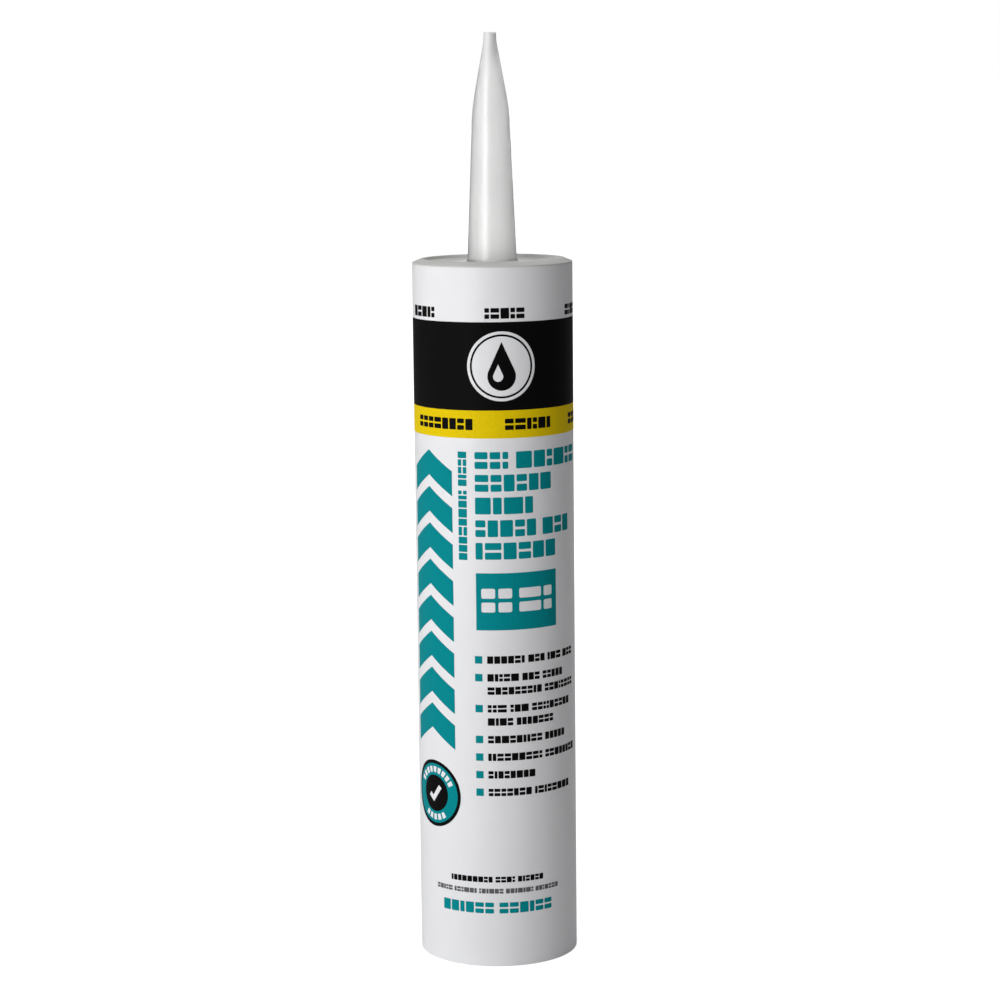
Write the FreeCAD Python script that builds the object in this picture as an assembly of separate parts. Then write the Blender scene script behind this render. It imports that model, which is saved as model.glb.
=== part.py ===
import FreeCAD, Part
import math
import os

# A sealant cartridge of about 300 ml, as a caulking gun takes it.
# A straight moulded barrel stands on its open back end. A front end with a tapered nozzle
# is welded into its other end, a thin membrane closes the nozzle's root, the sealant fills
# the barrel, and a cup-shaped plunger closes the fill from behind and slides up the bore.
# Millimetres. +Z is up, along the axis towards the nozzle. The origin is the centre of the
# barrel's back edge. The front of the print faces -Y, and +X is to its right.

Vector = FreeCAD.Vector
UP = Vector(0, 0, 1)
AXIS_FOOT = Vector(0, 0, 0)

# Barrel
BARREL_DIAMETER = 49.0
BARREL_WALL = 1.1
BARREL_LENGTH = 215.0
BACK_EDGE_ROUND = 0.2
BACK_LEAD_IN = 0.3

# Front end: a bevelled shoulder on the barrel's edge, a plug down its bore and a sunk end wall
SHOULDER_HEIGHT = 1.5
SHOULDER_BEVEL = 1.1
SHOULDER_ROUND = 0.55
RIM_WIDTH = 3.6
RIM_LAND = 1.0
RIM_INNER_ROUND = 0.35
RECESS_DEPTH = 1.0
RECESS_DRAFT = 0.3
END_WALL = 1.5
PLUG_DEPTH = 8.7
PLUG_WALL = 1.4
PLUG_LEAD_IN = 0.5

# Nozzle, moulded in one with the front end, its tip still closed
NOZZLE_LENGTH = 69.0
NOZZLE_ROOT_DIAMETER = 15.1
NOZZLE_ROOT_FILLET = 0.9
NOZZLE_NECK_DIAMETER = 11.2
NOZZLE_NECK_BELOW_TIP = 22.8
NOZZLE_NECK_ROUND = 60.0
NOZZLE_STUB_DIAMETER = 3.9
NOZZLE_STUB_LENGTH = 2.8
NOZZLE_TIP_DIAMETER = 3.7
NOZZLE_TIP_ROUND = 0.45
NOZZLE_WALL = 1.35
NOZZLE_TIP_WALL = 4.0

# Membrane, heat-sealed into a shallow seat under the nozzle's root
MEMBRANE_DIAMETER = 17.0
MEMBRANE_THICKNESS = 0.25

# Sealant, from the end wall's underside to the plunger's face
FILL_LENGTH = 174.4

# Plunger
PLUNGER_HEIGHT = 20.0
PLUNGER_RUNNING_GAP = 0.1
PLUNGER_FACE_DIAMETER = 32.0
PLUNGER_FACE_ROUND = 3.0
PLUNGER_CONE_HEIGHT = 4.0
PLUNGER_CONE_EDGE = 0.9
PLUNGER_LIP_HEIGHT = 1.6
PLUNGER_LIP_SLOPE = 1.0
PLUNGER_LIP_ROUND = 0.3
PLUNGER_LIP_REACH = 0.8
PLUNGER_SKIRT_WALL = 1.4
PLUNGER_FACE_WALL = 1.8
PLUNGER_CONE_WALL = 2.2
PLUNGER_RIB_COUNT = 8
PLUNGER_RIB_WALL = 1.2
PLUNGER_RIB_HEIGHT = 6.2
PLUNGER_BOSS_DIAMETER = 9.0
PLUNGER_BOSS_BORE = 5.6
FILL_GAP = 0.1

# Print: four inks on the barrel's skin. Widths are measured round the barrel from the
# front's centre line, and heights down from the rim or from the field above.
INK_THICKNESS = 0.06
BLACK_BAND_BELOW_RIM = 17.7
BLACK_BAND_HEIGHT = 26.5
YELLOW_BAND_HEIGHT = 8.4
ROUNDEL_DIAMETER = 21.0
ROUNDEL_ACROSS = 2.5
DROP_DIAMETER = 8.6
DROP_HEIGHT = 14.6
SHADE_MARK_COUNT = 5
SHADE_MARK_WIDTH = 12.2
SHADE_MARK_HEIGHT = 3.2
SHADE_MARK_GAP = 1.0
SHADE_MARK_START = -31.7
SHADE_MARK_PITCH = 29.2
USE_MARK_HEIGHT = 3.4
USE_MARK_GAP = 9.8
USE_MARK_START = -28.2
USE_MARK_WIDTHS = (21.7, 15.4, 21.7, 15.4, 21.7)
HEADING_LEFT = -6.0
HEADING_BELOW_BAND = 4.1
HEADING_HEIGHT = 5.1
HEADING_PITCH = 6.9
HEADING_WORD_GAP = 2.4
HEADING_WORDS = ((10.2, 26.4), (24.8,), (18.0,), (19.0, 12.2), (26.5,))
PANEL_WIDTH = 26.7
PANEL_HEIGHT = 17.5
PANEL_BELOW_HEADING = 4.2
PANEL_MARK_INSET = 1.6
PANEL_MARK_BELOW_TOP = 4.7
PANEL_MARK_HEIGHT = 7.3
PANEL_MARK_GAP = 2.2
PANEL_MARK_WIDTHS = (9.4, 11.6)
BULLET_SIZE = 2.3
BULLET_LEFT = -6.6
BULLET_BELOW_PANEL = 8.0
NOTE_LEFT = -2.8
NOTE_HEIGHT = 1.9
NOTE_PITCH = 5.5
NOTE_LINE_PITCH = 4.1
NOTE_LINES = ((32.8,), (26.3, 32.8), (30.3, 21.8), (27.3,), (33.8,), (14.8,), (29.8,))
SIDE_LINE_WIDTH = 2.8
SIDE_LINE_LENGTH = 33.0
SIDE_LINE_GAP = 2.6
FOOT_LINES_ACROSS = -0.5
FOOT_LINES_RAISE = 1.5
BLACK_FOOT_LINE_WIDTH = 30.0
BLACK_FOOT_LINE_HEIGHT = 1.8
GREY_FOOT_LINE_WIDTH = 42.0
GREY_FOOT_LINE_HEIGHT = 1.5
GREY_FOOT_LINE_GAP = 2.0
TEAL_FOOT_LINE_WIDTH = 36.4
TEAL_FOOT_LINE_HEIGHT = 3.4
TEAL_FOOT_LINE_GAP = 2.9
CHEVRON_COUNT = 8
CHEVRON_WIDTH = 19.0
CHEVRON_ACROSS = -23.0
CHEVRON_PITCH = 11.2
CHEVRON_ARM = 7.6
CHEVRON_RISE = 6.0
CHEVRON_BELOW_BAND = 4.3
BADGE_DIAMETER = 20.8
BADGE_ACROSS = -22.2
BADGE_BELOW_CHEVRONS = 4.4
BADGE_EDGE = 1.1
BADGE_CENTRE_DIAMETER = 11.4
TICK_STROKE = 1.5
TICK_SHORT_ARM = 3.0
TICK_LONG_ARM = 6.0
TICK_TURN = -52

# Drawing limits: the share of a side that one corner's round may take, and the smallest edge
ROUND_SHARE = 0.49
SMALLEST_EDGE = 1e-6

# Worked out from the sizes above
OUTER_RADIUS = BARREL_DIAMETER / 2
BORE_RADIUS = OUTER_RADIUS - BARREL_WALL
RIM_TOP = BARREL_LENGTH + SHOULDER_HEIGHT
RECESS_FLOOR = RIM_TOP - RECESS_DEPTH
END_WALL_UNDER = RECESS_FLOOR - END_WALL
PLUG_BOTTOM = BARREL_LENGTH - PLUG_DEPTH
PLUG_INNER_RADIUS = BORE_RADIUS - PLUG_WALL
NOZZLE_TIP = RECESS_FLOOR + NOZZLE_LENGTH
MEMBRANE_TOP = END_WALL_UNDER + MEMBRANE_THICKNESS
PLUNGER_FACE = END_WALL_UNDER - FILL_LENGTH
PLUNGER_BACK = PLUNGER_FACE - PLUNGER_HEIGHT
PLUNGER_LIP_RADIUS = BORE_RADIUS - PLUNGER_RUNNING_GAP
PLUNGER_SKIRT_RADIUS = PLUNGER_LIP_RADIUS - PLUNGER_LIP_REACH
BLACK_BAND_TOP = RIM_TOP - BLACK_BAND_BELOW_RIM
YELLOW_BAND_TOP = BLACK_BAND_TOP - BLACK_BAND_HEIGHT
WHITE_FIELD_TOP = YELLOW_BAND_TOP - YELLOW_BAND_HEIGHT
HEADING_TOP = WHITE_FIELD_TOP - HEADING_BELOW_BAND
HEADING_FOOT = HEADING_TOP - (len(HEADING_WORDS) - 1) * HEADING_PITCH - HEADING_HEIGHT
PANEL_TOP = HEADING_FOOT - PANEL_BELOW_HEADING
FIRST_NOTE = PANEL_TOP - PANEL_HEIGHT - BULLET_BELOW_PANEL - BULLET_SIZE / 2
CHEVRON_REACH = CHEVRON_ARM + CHEVRON_RISE
FIRST_CHEVRON = WHITE_FIELD_TOP - CHEVRON_BELOW_BAND - CHEVRON_REACH / 2
LAST_CHEVRON = FIRST_CHEVRON - (CHEVRON_COUNT - 1) * CHEVRON_PITCH
BADGE_TOP = LAST_CHEVRON - CHEVRON_REACH / 2 - BADGE_BELOW_CHEVRONS
BADGE_MIDDLE = BADGE_TOP - BADGE_DIAMETER / 2
BADGE_FOOT = BADGE_TOP - BADGE_DIAMETER
GREY_FOOT_LINE_DROP = BLACK_FOOT_LINE_HEIGHT + GREY_FOOT_LINE_GAP
TEAL_FOOT_LINE_DROP = GREY_FOOT_LINE_DROP + GREY_FOOT_LINE_HEIGHT + TEAL_FOOT_LINE_GAP
FOOT_LINES_HEIGHT = TEAL_FOOT_LINE_DROP + TEAL_FOOT_LINE_HEIGHT
FOOT_LINES_TOP = (BADGE_FOOT + FOOT_LINES_HEIGHT) / 2 + FOOT_LINES_RAISE


def toward(start, end, distance):
    """The point that lies the given distance from start on the way to end."""
    way = end.sub(start)
    return start.add(way.multiply(distance / way.Length))


def rounded_corner(before, corner, after, radius):
    """Start, middle and end of the arc that rounds a corner, no larger than its sides allow."""
    half_turn = corner.sub(before).getAngle(corner.sub(after)) / 2
    room = min(before.distanceToPoint(corner), after.distanceToPoint(corner))
    reach = min(radius / math.tan(half_turn), ROUND_SHARE * room)
    radius = reach * math.tan(half_turn)
    start = toward(corner, before, reach)
    end = toward(corner, after, reach)
    middle_way = start.add(end).multiply(0.5)
    middle = toward(corner, middle_way, radius / math.sin(half_turn) - radius)
    return start, middle, end


def outline(corners):
    """Face in the XZ plane from (x, z) corners, where a third number rounds that corner."""
    points = [Vector(c[0], 0, c[1]) for c in corners]
    rounds = [c[2] if len(c) > 2 else 0 for c in corners]
    edges = []
    stops = []
    for i, (point, radius) in enumerate(zip(points, rounds)):
        if radius:
            before = points[i - 1]
            after = points[(i + 1) % len(points)]
            start, middle, end = rounded_corner(before, point, after, radius)
            stops.append((start, end))
            edges.append(Part.Arc(start, middle, end).toShape())
        else:
            stops.append((point, point))
    for i, (_, leave) in enumerate(stops):
        arrive = stops[(i + 1) % len(stops)][0]
        if leave.distanceToPoint(arrive) > SMALLEST_EDGE:
            edges.append(Part.LineSegment(leave, arrive).toShape())
    return Part.Face(Part.Wire(Part.__sortEdges__(edges)))


def turned(corners):
    """Solid turned about the axis from a half outline of (radius, height) corners."""
    return outline(corners).revolve(AXIS_FOOT, UP, 360)


def barrel():
    """Straight tube, open at both ends, with its back edge eased outside and led in inside."""
    return turned([
        (BORE_RADIUS + BACK_LEAD_IN, 0),
        (OUTER_RADIUS, 0, BACK_EDGE_ROUND),
        (OUTER_RADIUS, BARREL_LENGTH),
        (BORE_RADIUS, BARREL_LENGTH),
        (BORE_RADIUS, BACK_LEAD_IN),
    ])


def front_end():
    """Bevelled shoulder, sunk end wall, plug in the bore and closed nozzle, as one moulding."""
    recess_radius = OUTER_RADIUS - RIM_WIDTH
    nozzle_root = NOZZLE_ROOT_DIAMETER / 2
    nozzle_neck = NOZZLE_NECK_DIAMETER / 2
    nozzle_stub = NOZZLE_STUB_DIAMETER / 2
    neck_height = NOZZLE_TIP - NOZZLE_NECK_BELOW_TIP
    stub_height = NOZZLE_TIP - NOZZLE_STUB_LENGTH
    neck_slope = (nozzle_neck - nozzle_stub) / (stub_height - neck_height)
    bore_top = NOZZLE_TIP - NOZZLE_TIP_WALL
    bore_top_radius = nozzle_stub + neck_slope * (stub_height - bore_top) - NOZZLE_WALL
    return turned([
        (0, NOZZLE_TIP),
        (NOZZLE_TIP_DIAMETER / 2, NOZZLE_TIP, NOZZLE_TIP_ROUND),
        (nozzle_stub, stub_height),
        (nozzle_neck, neck_height, NOZZLE_NECK_ROUND),
        (nozzle_root, RECESS_FLOOR, NOZZLE_ROOT_FILLET),
        (recess_radius - RECESS_DRAFT, RECESS_FLOOR, RIM_INNER_ROUND),
        (recess_radius, RIM_TOP, RIM_INNER_ROUND),
        (recess_radius + RIM_LAND, RIM_TOP),
        (OUTER_RADIUS, RIM_TOP - SHOULDER_BEVEL, SHOULDER_ROUND),
        (OUTER_RADIUS, BARREL_LENGTH),
        (BORE_RADIUS, BARREL_LENGTH),
        (BORE_RADIUS, PLUG_BOTTOM + PLUG_LEAD_IN),
        (BORE_RADIUS - PLUG_LEAD_IN, PLUG_BOTTOM),
        (PLUG_INNER_RADIUS, PLUG_BOTTOM),
        (PLUG_INNER_RADIUS, END_WALL_UNDER),
        (MEMBRANE_DIAMETER / 2, END_WALL_UNDER),
        (MEMBRANE_DIAMETER / 2, MEMBRANE_TOP),
        (nozzle_root - NOZZLE_WALL, MEMBRANE_TOP),
        (nozzle_neck - NOZZLE_WALL, neck_height, NOZZLE_NECK_ROUND),
        (bore_top_radius, bore_top),
        (0, bore_top),
    ])


def membrane():
    """Thin disc that closes the nozzle's root until it is pierced."""
    return Part.makeCylinder(
        MEMBRANE_DIAMETER / 2, MEMBRANE_THICKNESS, Vector(0, 0, END_WALL_UNDER), UP
    )


def sealant():
    """The fill: a column from the end wall to the plunger, which it meets all over."""
    face = PLUNGER_FACE + FILL_GAP
    lip = face - PLUNGER_CONE_HEIGHT
    return turned([
        (0, face),
        (PLUNGER_FACE_DIAMETER / 2, face, PLUNGER_FACE_ROUND),
        (PLUNGER_LIP_RADIUS - PLUNGER_CONE_EDGE, lip),
        (BORE_RADIUS, lip),
        (BORE_RADIUS, PLUG_BOTTOM),
        (PLUG_INNER_RADIUS, PLUG_BOTTOM),
        (PLUG_INNER_RADIUS, END_WALL_UNDER),
        (0, END_WALL_UNDER),
    ])


def plunger_hollow(cone_foot):
    """The space inside the plunger's cup, open at the back."""
    inner_face = PLUNGER_FACE - PLUNGER_FACE_WALL
    inner_skirt = PLUNGER_SKIRT_RADIUS - PLUNGER_SKIRT_WALL
    return turned([
        (0, PLUNGER_BACK),
        (inner_skirt, PLUNGER_BACK),
        (inner_skirt, cone_foot - PLUNGER_CONE_WALL, PLUNGER_FACE_ROUND),
        (PLUNGER_FACE_DIAMETER / 2, inner_face, PLUNGER_FACE_ROUND),
        (0, inner_face),
    ])


def plunger_ribs():
    """Radial ribs and a centre boss that carry the push of the gun's plate."""
    foot = PLUNGER_FACE - PLUNGER_FACE_WALL - PLUNGER_RIB_HEIGHT
    height = PLUNGER_FACE - foot
    boss_radius = PLUNGER_BOSS_DIAMETER / 2
    bore = Part.makeCylinder(PLUNGER_BOSS_BORE / 2, height, Vector(0, 0, foot), UP)
    ribs = Part.makeCylinder(boss_radius, height, Vector(0, 0, foot), UP)
    for i in range(PLUNGER_RIB_COUNT):
        rib = Part.makeBox(PLUNGER_SKIRT_RADIUS, PLUNGER_RIB_WALL, height)
        rib.translate(Vector(0, -PLUNGER_RIB_WALL / 2, foot))
        rib.rotate(AXIS_FOOT, UP, i * 360 / PLUNGER_RIB_COUNT)
        ribs = ribs.fuse(rib)
    return ribs.cut(bore)


def plunger():
    """Cup with a bevelled face and two sealing lips, open at the back and ribbed inside."""
    cone_foot = PLUNGER_FACE - PLUNGER_CONE_HEIGHT
    front_lip = cone_foot - PLUNGER_CONE_EDGE / 2
    front_lip_foot = front_lip - PLUNGER_LIP_HEIGHT
    back_lip = PLUNGER_BACK + PLUNGER_LIP_HEIGHT + PLUNGER_LIP_SLOPE / 2
    body = turned([
        (0, PLUNGER_FACE),
        (PLUNGER_FACE_DIAMETER / 2, PLUNGER_FACE, PLUNGER_FACE_ROUND),
        (PLUNGER_LIP_RADIUS - PLUNGER_CONE_EDGE, cone_foot),
        (PLUNGER_LIP_RADIUS, front_lip, PLUNGER_LIP_ROUND),
        (PLUNGER_LIP_RADIUS, front_lip_foot, PLUNGER_LIP_ROUND),
        (PLUNGER_SKIRT_RADIUS, front_lip_foot - PLUNGER_LIP_SLOPE),
        (PLUNGER_SKIRT_RADIUS, back_lip + PLUNGER_LIP_SLOPE),
        (PLUNGER_LIP_RADIUS, back_lip, PLUNGER_LIP_ROUND),
        (PLUNGER_LIP_RADIUS, PLUNGER_BACK + PLUNGER_LIP_SLOPE / 2, PLUNGER_LIP_ROUND),
        (PLUNGER_LIP_RADIUS - PLUNGER_LIP_SLOPE / 2, PLUNGER_BACK),
        (0, PLUNGER_BACK),
    ])
    return body.cut(plunger_hollow(cone_foot).cut(plunger_ribs()))


def turn_to(shape, across):
    """Turns a shape from the front's centre line to a place measured round the barrel."""
    shape.rotate(AXIS_FOOT, UP, math.degrees(across / OUTER_RADIUS))
    return shape


def ink_block(left, width, top, height, layer=0):
    """Printed block from its left edge and its top, on the barrel or on an ink below it."""
    inner = OUTER_RADIUS + layer * INK_THICKNESS
    section = Part.Face(Part.makePolygon([
        Vector(0, -inner, top - height),
        Vector(0, -inner - INK_THICKNESS, top - height),
        Vector(0, -inner - INK_THICKNESS, top),
        Vector(0, -inner, top),
        Vector(0, -inner, top - height),
    ]))
    block = section.revolve(AXIS_FOOT, UP, math.degrees(width / OUTER_RADIUS))
    return turn_to(block, left)


def ink_ring(top, height):
    """Printed band right round the barrel."""
    outer = Part.makeCylinder(
        OUTER_RADIUS + INK_THICKNESS, height, Vector(0, 0, top - height), UP
    )
    inner = Part.makeCylinder(OUTER_RADIUS, height, Vector(0, 0, top - height), UP)
    return outer.cut(inner)


def stamp(face, across, height):
    """Prism on the barrel's skin over a face drawn about (0, 0) in the XZ plane."""
    prism = face.extrude(Vector(0, -BARREL_DIAMETER, 0))
    prism.translate(Vector(0, 0, height))
    return turn_to(prism, across)


def disc(diameter):
    """Round face in the XZ plane."""
    circle = Part.makeCircle(diameter / 2, AXIS_FOOT, Vector(0, 1, 0))
    return Part.Face(Part.Wire(circle))


def printed(face, across, height):
    """A drawn face as ink on the barrel."""
    reach = face.BoundBox.ZLength
    skin = ink_ring(height + reach, 2 * reach)
    return skin.common(stamp(face, across, height))


def drop_face():
    """A drop: a round foot with straight sides that meet in a point above it."""
    radius = DROP_DIAMETER / 2
    foot = radius - DROP_HEIGHT / 2
    point = Vector(0, 0, DROP_HEIGHT / 2)
    lean = math.acos(radius / (DROP_HEIGHT - radius))
    side = Vector(radius * math.sin(lean), 0, foot + radius * math.cos(lean))
    other = Vector(-side.x, 0, side.z)
    edges = [
        Part.LineSegment(point, side).toShape(),
        Part.Arc(side, Vector(0, 0, -DROP_HEIGHT / 2), other).toShape(),
        Part.LineSegment(other, point).toShape(),
    ]
    return Part.Face(Part.Wire(edges))


def tick_face():
    """A tick of even stroke, drawn square and then turned upright."""
    short, long, stroke = TICK_SHORT_ARM, TICK_LONG_ARM, TICK_STROKE
    corners = [
        (0, 0), (long, 0), (long, stroke), (stroke, stroke), (stroke, short), (0, short),
    ]
    face = outline(corners)
    face.rotate(AXIS_FOOT, Vector(0, 1, 0), TICK_TURN)
    face.translate(face.BoundBox.Center.multiply(-1))
    return face


def chevron_face():
    """Arrow-shaped stripe that points up, with its middle at (0, 0)."""
    half = OUTER_RADIUS * math.sin(CHEVRON_WIDTH / 2 / OUTER_RADIUS)
    low = -CHEVRON_REACH / 2
    return outline([
        (-half, low), (0, low + CHEVRON_RISE), (half, low),
        (half, low + CHEVRON_ARM), (0, low + CHEVRON_RISE + CHEVRON_ARM),
        (-half, low + CHEVRON_ARM),
    ])


def heading_blocks():
    """The heading's words as blocks, line by line."""
    blocks = []
    for line, words in enumerate(HEADING_WORDS):
        left = HEADING_LEFT
        top = HEADING_TOP - line * HEADING_PITCH
        for width in words:
            blocks.append(ink_block(left, width, top, HEADING_HEIGHT))
            left += width + HEADING_WORD_GAP
    return blocks


def chevrons():
    """The upright column of chevrons."""
    heights = [FIRST_CHEVRON - i * CHEVRON_PITCH for i in range(CHEVRON_COUNT)]
    return [printed(chevron_face(), CHEVRON_ACROSS, height) for height in heights]


def panel():
    """Block of ink that two words' worth of bare barrel are left out of."""
    field = ink_block(HEADING_LEFT, PANEL_WIDTH, PANEL_TOP, PANEL_HEIGHT)
    left = HEADING_LEFT + PANEL_MARK_INSET
    for width in PANEL_MARK_WIDTHS:
        mark = ink_block(left, width, PANEL_TOP - PANEL_MARK_BELOW_TOP, PANEL_MARK_HEIGHT)
        field = field.cut(mark)
        left += width + PANEL_MARK_GAP
    return field


def note_rows():
    """Middle height and widths of each note, from the first bullet down."""
    middle = FIRST_NOTE
    rows = []
    for widths in NOTE_LINES:
        rows.append((middle, widths))
        middle -= (len(widths) - 1) * NOTE_LINE_PITCH + NOTE_PITCH
    return rows


def note_lines():
    """The notes' text as plain bars, one for each line."""
    lines = []
    for middle, widths in note_rows():
        for i, width in enumerate(widths):
            top = middle - i * NOTE_LINE_PITCH + NOTE_HEIGHT / 2
            lines.append(ink_block(NOTE_LEFT, width, top, NOTE_HEIGHT))
    return lines


def foot_line(width, height, drop=0):
    """A bar for one of the text lines that stand between the badge and the back edge."""
    return ink_block(FOOT_LINES_ACROSS - width / 2, width, FOOT_LINES_TOP - drop, height)


def black_print():
    """Black ink: the band with its drop, the marks about it, the notes and the badge's edge."""
    band = ink_ring(BLACK_BAND_TOP, BLACK_BAND_HEIGHT)
    middle = BLACK_BAND_TOP - BLACK_BAND_HEIGHT / 2
    window = stamp(disc(ROUNDEL_DIAMETER), ROUNDEL_ACROSS, middle)
    fields = [band.cut(window), printed(drop_face(), ROUNDEL_ACROSS, middle)]
    shade_top = BLACK_BAND_TOP + SHADE_MARK_GAP + SHADE_MARK_HEIGHT
    for i in range(SHADE_MARK_COUNT):
        left = SHADE_MARK_START + i * SHADE_MARK_PITCH
        fields.append(ink_block(left, SHADE_MARK_WIDTH, shade_top, SHADE_MARK_HEIGHT))
    left = USE_MARK_START
    use_top = YELLOW_BAND_TOP - (YELLOW_BAND_HEIGHT - USE_MARK_HEIGHT) / 2
    for width in USE_MARK_WIDTHS:
        fields.append(ink_block(left, width, use_top, USE_MARK_HEIGHT, layer=1))
        left += width + USE_MARK_GAP
    edge = disc(BADGE_DIAMETER).cut(disc(BADGE_DIAMETER - 2 * BADGE_EDGE))
    centre = disc(BADGE_CENTRE_DIAMETER).cut(tick_face())
    fields.append(printed(edge, BADGE_ACROSS, BADGE_MIDDLE))
    fields.append(printed(centre, BADGE_ACROSS, BADGE_MIDDLE))
    fields += note_lines()
    fields.append(foot_line(BLACK_FOOT_LINE_WIDTH, BLACK_FOOT_LINE_HEIGHT))
    return fields


def grey_print():
    """Grey ink: one line at the label's foot."""
    return [foot_line(GREY_FOOT_LINE_WIDTH, GREY_FOOT_LINE_HEIGHT, GREY_FOOT_LINE_DROP)]


def teal_print():
    """Teal ink: heading, side line, panel, bullets, chevrons, badge ring and a foot line."""
    fields = heading_blocks()
    side_left = HEADING_LEFT - SIDE_LINE_GAP - SIDE_LINE_WIDTH
    fields.append(ink_block(side_left, SIDE_LINE_WIDTH, HEADING_TOP, SIDE_LINE_LENGTH))
    fields.append(panel())
    for middle, _ in note_rows():
        top = middle + BULLET_SIZE / 2
        fields.append(ink_block(BULLET_LEFT, BULLET_SIZE, top, BULLET_SIZE))
    fields += chevrons()
    fields.append(foot_line(
        TEAL_FOOT_LINE_WIDTH, TEAL_FOOT_LINE_HEIGHT, TEAL_FOOT_LINE_DROP
    ))
    ring = disc(BADGE_DIAMETER - 2 * BADGE_EDGE).cut(disc(BADGE_CENTRE_DIAMETER))
    fields.append(printed(ring, BADGE_ACROSS, BADGE_MIDDLE))
    return fields


def yellow_print():
    """Yellow ink: one band right under the black one."""
    return [ink_ring(YELLOW_BAND_TOP, YELLOW_BAND_HEIGHT)]


def main():
    os.makedirs("parts", exist_ok=True)
    nodes = {
        "barrel": [barrel()],
        "front_end_with_nozzle": [front_end()],
        "nozzle_membrane": [membrane()],
        "sealant": [sealant()],
        "plunger": [plunger()],
        "black_print": black_print(),
        "yellow_print": yellow_print(),
        "teal_print": teal_print(),
        "grey_print": grey_print(),
    }
    for name, shapes in nodes.items():
        solids = [solid for shape in shapes for solid in shape.Solids]
        shape = solids[0] if len(solids) == 1 else Part.makeCompound(solids)
        shape.exportStep(os.path.join("parts", name + ".step"))
        print("%-22s %3d solids %10.1f mm3 valid %s"
              % (name, len(solids), shape.Volume, shape.isValid()))
    print("fill %.1f ml" % (sealant().Volume / 1000))
    print("plunger face %.1f back %.1f" % (PLUNGER_FACE, PLUNGER_BACK))
    print("tip %.1f" % NOZZLE_TIP)


main()
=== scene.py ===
import math
import random

import bmesh
import bpy
from bpy.props import FloatProperty, FloatVectorProperty, IntProperty, PointerProperty
from mathutils import Euler, Matrix, Vector


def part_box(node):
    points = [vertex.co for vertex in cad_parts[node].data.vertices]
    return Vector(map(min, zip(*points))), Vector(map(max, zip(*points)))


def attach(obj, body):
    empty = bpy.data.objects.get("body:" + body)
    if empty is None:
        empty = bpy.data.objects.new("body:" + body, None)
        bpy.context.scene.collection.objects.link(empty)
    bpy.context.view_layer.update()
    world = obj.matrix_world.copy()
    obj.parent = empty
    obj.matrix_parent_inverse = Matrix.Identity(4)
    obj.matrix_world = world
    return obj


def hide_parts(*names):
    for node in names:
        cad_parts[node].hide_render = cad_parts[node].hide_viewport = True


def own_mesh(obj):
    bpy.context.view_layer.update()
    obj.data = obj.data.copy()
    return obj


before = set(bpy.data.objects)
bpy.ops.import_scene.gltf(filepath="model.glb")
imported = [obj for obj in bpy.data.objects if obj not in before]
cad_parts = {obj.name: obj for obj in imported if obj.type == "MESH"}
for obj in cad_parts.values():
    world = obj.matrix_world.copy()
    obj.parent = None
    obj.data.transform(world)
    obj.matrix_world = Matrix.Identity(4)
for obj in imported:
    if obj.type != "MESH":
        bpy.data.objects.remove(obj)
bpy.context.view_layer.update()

bl_info = {
    "name": "Sealant cartridge",
    "version": (1, 0, 0),
    "blender": (4, 5, 0),
    "location": "View3D > Sidebar > Cartridge",
    "description": "Builds a printed sealant cartridge with its nozzle, fill and plunger",
    "category": "Object",
}

MM = 0.001

# Sizes that the frame holds, in metres
BARREL_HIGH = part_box("barrel")[1]
FRONT_LOW, FRONT_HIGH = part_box("front_end_with_nozzle")
FILL_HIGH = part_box("sealant")[1]
PLUNGER_LOW, PLUNGER_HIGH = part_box("plunger")
MEMBRANE_LOW, MEMBRANE_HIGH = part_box("nozzle_membrane")
YELLOW_LOW, YELLOW_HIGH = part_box("yellow_print")
OUTER_RADIUS = BARREL_HIGH.x
BARREL_LENGTH = BARREL_HIGH.z
BORE_RADIUS = FILL_HIGH.x
NOZZLE_TIP = FRONT_HIGH.z
PLUG_BOTTOM = FRONT_LOW.z
END_WALL_UNDER = MEMBRANE_LOW.z
MEMBRANE_RADIUS = MEMBRANE_HIGH.x
MEMBRANE_TOP = MEMBRANE_HIGH.z
LIP_RADIUS = PLUNGER_HIGH.x
PLUNGER_FACE = PLUNGER_HIGH.z
PLUNGER_BACK = PLUNGER_LOW.z

# How finely round things are cut
TURN_STEPS = 256
ARC_STEP = math.radians(9)
SHARP_ANGLE = math.radians(32)
CIRCLE_STEPS = 96
DROP_STEPS = 48
TINY = 1e-7
SEAM_SLACK = 1e-6
SLIVER = 2e-6
ROUND_ROOM = 0.49

# Grain of each material: stretch along x, y and z, scale, detail, and depth of its bumps
GRAINS = {
    "uneven skin": ((1, 1, 0.5), 140, 2, 0.04 * MM),
    "draw lines": ((1, 1, 0.012), 900, 3, 0.006 * MM),
    "fine skin": ((1, 1, 0.3), 2600, 2, 0.0015 * MM),
    "milky cloud": ((1, 1, 0.35), 160, 2, 0.02 * MM),
    "paste folds": ((1, 1, 2.5), 90, 3, 0.3 * MM),
    "foil creases": ((1, 1, 1), 700, 4, 0.12 * MM),
    "ink cover": ((1, 1, 1), 1400, 3, 0.002 * MM),
}
NOISE_LOW, NOISE_HIGH = 0.3, 0.7
PLASTIC_IOR = 1.5
FLOOR_ROUGHNESS = 0.9
SENSOR_WIDTH = 36

# Where the tip's plastic turns hazy: how far below the tip, in lengths of its solid part
TIP_HAZE_START = 3
TIP_HAZE_END = 0.5

# The badge: marks left out of its ring, as shares of the ring's width, as (middle, count) of
# each arc in degrees, and as turns; and how far its tick is turned
RING_MARK_LOW, RING_MARK_HIGH = 0.24, 0.76
RING_ARCS = ((90, 9), (270, 5))
RING_MARK_PITCH = math.radians(15)
RING_MARK_HALF = math.radians(5.2)
TICK_TURN = math.radians(52)

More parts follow.
